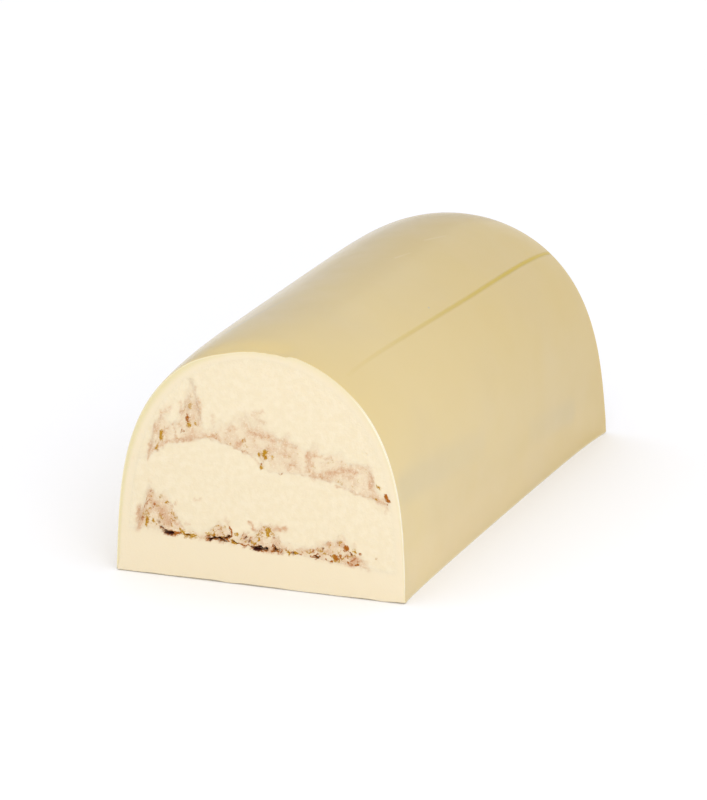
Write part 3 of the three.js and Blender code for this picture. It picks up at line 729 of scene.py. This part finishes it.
def stand(name, data):
    """Puts an object with that mesh, lamp or camera into the scene."""
    thing = bpy.data.objects.new(name, data)
    bpy.context.scene.collection.objects.link(thing)
    return thing


COLUMNS = 230  # the same for all four layers, so that their borders meet
SEAM_ROWS = 26  # rows of faces from a seam's foot to its top
FILLING_STEPS = 40  # steps along the bar


def spread(name, bottom, top, left, right, rows):
    """A layer of the filling between four lines of its section, run from cut to cut."""
    section = bmesh.new()
    bmesh.ops.create_grid(section, x_segments=COLUMNS, y_segments=rows, size=0.5)
    mesh, (flat_x, flat_y, share) = sweep(name, section, FILLING_STEPS)
    across, up = flat_x + 0.5, flat_y + 0.5
    share = (1 - np.cos(math.pi * share)) / 2
    corners = [line(np.array([end])) for line in (bottom, top) for end in (0.0, 1.0)]
    lines = bottom(across), top(across), left(up), right(up)
    x, z = (
        between(lines[0][i], lines[1][i], up) + between(lines[2][i], lines[3][i], across)
        - between(between(corners[0][i], corners[1][i], across), between(corners[2][i], corners[3][i], across), up)
        for i in (0, 1)
    )
    proud = mark_cuts(mesh, x, z, share)
    settle(mesh, place(x, z, share, *proud))
    return stand(name, mesh)


def seam_line(stations, left, right, height):
    """A seam's foot or top line as a function of the share from its left end to its right end."""
    def line(share):
        x = between(wall_x(left, -1), wall_x(right, 1), share)
        return x, height(stations, left, right, x)
    return line


def straight(a, b):
    """A short straight line between the ends of two others."""
    return lambda share: (between(a[0], b[0], share), between(a[1], b[1], share))


def end_of(line, share):
    x, z = line(np.array([share]))
    return x[0], z[0]


SEAM_CLEAN = tint(211, 198, 171)  # nougat mixed into the praline
seam_material, tree, shader = cut_material("Praline seam", SEAM_CLEAN, 0.62, 0.00008)
seams = {}
for name, stations, left, right in (
    ("lower_praline_seam", LOWER_LINE, FLOOR_LEFT, FLOOR_RIGHT),
    ("upper_praline_seam", UPPER_LINE, UPPER_LEFT, UPPER_RIGHT),
):
    foot, top = seam_line(stations, left, right, seam_foot), seam_line(stations, left, right, seam_top)
    left_end = straight(end_of(foot, 0.0), end_of(top, 0.0))
    right_end = straight(end_of(foot, 1.0), end_of(top, 1.0))
    seam = spread("cut_" + name, foot, top, left_end, right_end, SEAM_ROWS)
    seam.data.materials.append(seam_material)
    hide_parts(name)
    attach(seam, "root")
    seams[name] = foot, top

# the coat's cut is smeared too, so its second material and its piece follow here
CUT_CHOCOLATE = tint(212, 199, 172)
CUT_EDGE = tint(202, 191, 150)
coat_cut, tree, shader = cut_material("Cut white chocolate", CUT_CHOCOLATE, 0.5, 0.00003)
base_colour = shader.inputs["Base Color"].links[0].from_socket
edge = add(tree, "ShaderNodeAttribute", attribute_name="from_edge").outputs["Fac"]
colour = blend(tree, ramp(tree, edge, 0.4, 2.0, 0.9, 0.0), base_colour, CUT_EDGE)
# pale burr, painted highlight along the feet and paler left edge, from the burr attribute
burr_and_highlight_mask = add(tree, "ShaderNodeAttribute", attribute_name="burr").outputs["Fac"]
tree.links.new(blend(tree, burr_and_highlight_mask, colour, BURR_AND_PAINTED_HIGHLIGHT), shader.inputs["Base Color"])
mark_cuts(coat_mesh, coat_x, coat_z, coat_share)
coat_mesh.materials.append(moulded)
coat_mesh.materials.append(coat_cut)
coat = stand("chocolate_coat", coat_mesh)
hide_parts("chocolate_shell")
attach(coat, "root")

# The nougat
# Two layers of soft pale nougat, whipped with air and pressed into the coat above and below the middle seam. The
# knife leaves them matt and finely grainy, with small paler spots.

NOUGAT = tint(210, 197, 169)
NOUGAT_PALE = tint(213, 201, 175)
nougat_material, tree, shader = cut_material("Nougat", NOUGAT, 0.62, 0.00008)
smear = next(n for n in tree.nodes if n.type == "GROUP")
object_place = add(tree, "ShaderNodeTexCoord").outputs["Object"]
grains = add(tree, "ShaderNodeTexNoise", {"Vector": object_place, "Scale": 1500.0, "Detail": 3.0}).outputs["Fac"]
clean = blend(tree, ramp(tree, grains, 0.35, 0.7), NOUGAT, NOUGAT_PALE)
tree.links.new(clean, smear.inputs["Clean"])

NOUGAT_ROWS = 84
SIDE_RISE = 2.5  # height of the upper nougat's short sides, which run up the wall from its corners, mm

lower_foot, upper_foot = seams["lower_praline_seam"][1], seams["upper_praline_seam"][0]


def wall_line(low, high, side):
    """The coat's inner wall between two heights, from the lower to the higher."""
    def line(share):
        z = between(low, high, share)
        return wall_x(z, side), z
    return line


def crown_line(share):
    """The inside of the coat's crown, from the top of one short side of the upper nougat to the other."""
    start = wall_turn(UPPER_LEFT + SEAM_TIP + SIDE_RISE)
    end = 1 - wall_turn(UPPER_RIGHT + SEAM_TIP + SIDE_RISE)
    return arch(between(start, end, share), WALL_LEFT, WALL_RIGHT, WALL_CROWN)


upper_top = seams["upper_praline_seam"][1]
lower_left = wall_line(end_of(lower_foot, 0.0)[1], end_of(upper_foot, 0.0)[1], -1)
lower_right = wall_line(end_of(lower_foot, 1.0)[1], end_of(upper_foot, 1.0)[1], 1)
upper_left = wall_line(end_of(upper_top, 0.0)[1], end_of(upper_top, 0.0)[1] + SIDE_RISE, -1)
upper_right = wall_line(end_of(upper_top, 1.0)[1], end_of(upper_top, 1.0)[1] + SIDE_RISE, 1)
for name, bottom, top, left, right in (
    ("lower_nougat", lower_foot, upper_foot, lower_left, lower_right),
    ("upper_nougat", upper_top, crown_line, upper_left, upper_right),
):
    layer = spread("cut_" + name, bottom, top, left, right, NOUGAT_ROWS)
    layer.data.materials.append(nougat_material)
    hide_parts(name)
    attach(layer, "root")

# The loose flakes
# Bits of crisp praline flake, toasted gold to amber, that the knife turned up out of the seams. They lie half
# sunk in both cuts, over the painted flakes, and are held by the soft praline around them.

SHARDS = 7  # shards in one flake
SHARD_LENGTH, SHARD_THICKNESS, SHARD_PROUD = 0.42, 0.24, 0.06  # against their stroke's half width
SHARD_SCATTER = 2.0  # how far the shards lie about, against their stroke's half width
SHARD_TURN = 0.7  # how far a shard turns out of its stroke's line, radians
SHARD_ROUGH = 0.5  # how uneven a shard's corners are
FAINT = 0.55  # marks weaker than this have no flake of their own

flakes = bmesh.new()
toasting = []
rng = np.random.default_rng(7)
for strokes, toasted in ((GOLDEN, 0.0), (AMBER, 1.0)):
    for x0, z0, x1, z1, width, strength in strokes:
        if strength < FAINT:
            continue
        for cut in (1.0, 0.0):
            for _ in range(SHARDS):
                share = rng.random()
                x, z = between(x0, x1, share), between(z0, z1, share)
                x += width * SHARD_SCATTER * (rng.random() - 0.5)
                z += width * SHARD_SCATTER * (rng.random() - 0.5)
                if cut == 0.0:
                    z = 2 * z - far_view(np.array([-x]), np.array([z]))[1][0]
                    x = -x
                centre = place(np.array([x]), np.array([z]), np.array([cut]))[0] / MM
                turn = math.atan2(z1 - z0, x1 - x0) + SHARD_TURN * (rng.random() - 0.5) * 2
                long = width * SHARD_LENGTH * (0.6 + 0.8 * rng.random())
                shard = bmesh.ops.create_icosphere(flakes, subdivisions=1, radius=1.0)["verts"]
                for vert in shard:
                    vert.co *= 1 + SHARD_ROUGH * (rng.random() - 0.5)
                size = (long, width * SHARD_THICKNESS, width * SHARD_THICKNESS)
                bmesh.ops.scale(flakes, vec=size, verts=shard)
                bmesh.ops.rotate(flakes, cent=(0, 0, 0), matrix=Matrix.Rotation(-turn, 3, "Y"), verts=shard)
                proud = SHARD_PROUD * width
                outward = Vector((0, -proud if cut else proud, 0))
                bmesh.ops.translate(flakes, vec=Vector(centre) + outward, verts=shard)
                toasting += [toasted * (0.75 + 0.25 * rng.random())] * len(shard)
bmesh.ops.scale(flakes, vec=(MM, MM, MM), verts=flakes.verts[:])
flake_mesh = bpy.data.meshes.new("praline_flakes")
flakes.to_mesh(flake_mesh)
flakes.free()
carve(flake_mesh, "toasted", toasting)
flake_object = stand("praline_flakes", flake_mesh)

FLAKE_GOLD = tint(185, 146, 45)
FLAKE_AMBER = tint(152, 88, 12)
FLAKE_PALE = tint(214, 180, 112)
flake_material, tree, shader = new_material("Praline flake")
object_place = add(tree, "ShaderNodeTexCoord").outputs["Object"]
cloud = add(tree, "ShaderNodeTexNoise", {"Vector": object_place, "Scale": 3000.0, "Detail": 2.0}).outputs["Fac"]
toasted = add(tree, "ShaderNodeAttribute", attribute_name="toasted").outputs["Fac"]
colour = blend(tree, toasted, FLAKE_GOLD, FLAKE_AMBER)
colour = blend(tree, ramp(tree, cloud, 0.5, 0.8, 0.0, 0.4), colour, FLAKE_PALE)
tree.links.new(colour, shader.inputs["Base Color"])
bump = add(tree, "ShaderNodeBump", {"Height": cloud, "Distance": 0.0001, "Strength": 0.5})
tree.links.new(bump.outputs["Normal"], shader.inputs["Normal"])
shader.inputs["Roughness"].default_value = 0.5
shader.inputs["Specular IOR Level"].default_value = 0.2
flake_object.data.materials.append(flake_material)
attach(flake_object, "root")

# The table, the light and the camera
# The bar stands on a matt white table in a bright white room, with one soft lamp low at the front right. The
# camera looks down on the near cut from the front right, through a long lens.

TABLE_SIZE = (6.0, 6.0)
TABLE_WHITE = (0.952, 0.956, 0.985, 1)


def matt_sheet(name, size, colour):
    """A flat matt rectangle of one colour, lying at the table's height around the origin."""
    shape = bmesh.new()
    bmesh.ops.create_grid(shape, x_segments=1, y_segments=1, size=0.5)
    bmesh.ops.scale(shape, vec=(*size, 1), verts=shape.verts[:])
    mesh = bpy.data.meshes.new(name)
    shape.to_mesh(mesh)
    shape.free()
    material, tree, shader = new_material(name.capitalize())
    shader.inputs["Base Color"].default_value = colour
    shader.inputs["Roughness"].default_value = 0.9
    shader.inputs["Specular IOR Level"].default_value = 0.1
    mesh.materials.append(material)
    return stand(name, mesh)


floor = matt_sheet("table", TABLE_SIZE, TABLE_WHITE)
floor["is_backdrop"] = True

ROOM_COLOUR = (1.0, 1.0, 1.0, 1)
ROOM_LIGHT = 1.065
world = bpy.data.worlds.new("Room")
world.use_nodes = True
background = next(n for n in world.node_tree.nodes if n.type == "BACKGROUND")
background.inputs["Color"].default_value = ROOM_COLOUR
background.inputs["Strength"].default_value = ROOM_LIGHT
bpy.context.scene.world = world

# a large pale grey card far off at the back left, which the glossy crown and left shoulder mirror
CARD_SIZE = (2.4, 1.6)
CARD_PLACE = Vector((-1.54, 1.84, 0.8))
CARD_COLOUR = (0.68, 0.69, 0.73, 1)
card = matt_sheet("card", CARD_SIZE, CARD_COLOUR)
card.location = CARD_PLACE
card.rotation_euler = (-Vector((CARD_PLACE.x, CARD_PLACE.y, 0))).to_track_quat("Z", "Y").to_euler()
card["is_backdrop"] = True

LAMP_WIDTH, LAMP_HEIGHT = 0.26, 0.12
LAMP_POWER = 0.47
LAMP_COLOUR = (1.0, 0.985, 0.96)
LAMP_DISTANCE = 0.32
LAMP_TURN, LAMP_RISE = math.radians(30), math.radians(10)
lamp_data = bpy.data.lights.new("lamp", "AREA")
lamp_data.shape = "RECTANGLE"
lamp_data.size = LAMP_WIDTH
lamp_data.size_y = LAMP_HEIGHT
lamp_data.energy = LAMP_POWER
lamp_data.color = LAMP_COLOUR
lamp = stand("lamp", lamp_data)
lamp_way = Vector(
    (math.sin(LAMP_TURN) * math.cos(LAMP_RISE), -math.cos(LAMP_TURN) * math.cos(LAMP_RISE), math.sin(LAMP_RISE))
)
lamp.location = Vector((0, NEAR_Y, HEIGHT / 2)) * MM + lamp_way * LAMP_DISTANCE
lamp.rotation_euler = lamp_way.to_track_quat("Z", "Y").to_euler()
lamp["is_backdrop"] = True

CAMERA_AIM = Vector((6.47, -20.56, 18.80)) * MM
CAMERA_BACK = Vector((0.3647, -0.8765, 0.3144)).normalized()
CAMERA_DISTANCE = 0.5582
CAMERA_SENSOR, CAMERA_LENS = 36.0, 233.7  # mm
CAMERA_SIGHT = 20.0
camera_data = bpy.data.cameras.new("camera")
camera_data.sensor_width = CAMERA_SENSOR
camera_data.lens = CAMERA_LENS
camera_data.clip_end = CAMERA_SIGHT
camera = stand("camera", camera_data)
camera.location = CAMERA_AIM + CAMERA_BACK * CAMERA_DISTANCE
camera.rotation_euler = CAMERA_BACK.to_track_quat("Z", "Y").to_euler()
bpy.context.scene.camera = camera
bpy.context.scene.view_settings.view_transform = "Standard"

shown_low, shown_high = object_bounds()
corners = {"cad": (cad_low, cad_high), "shown": (shown_low, shown_high)}
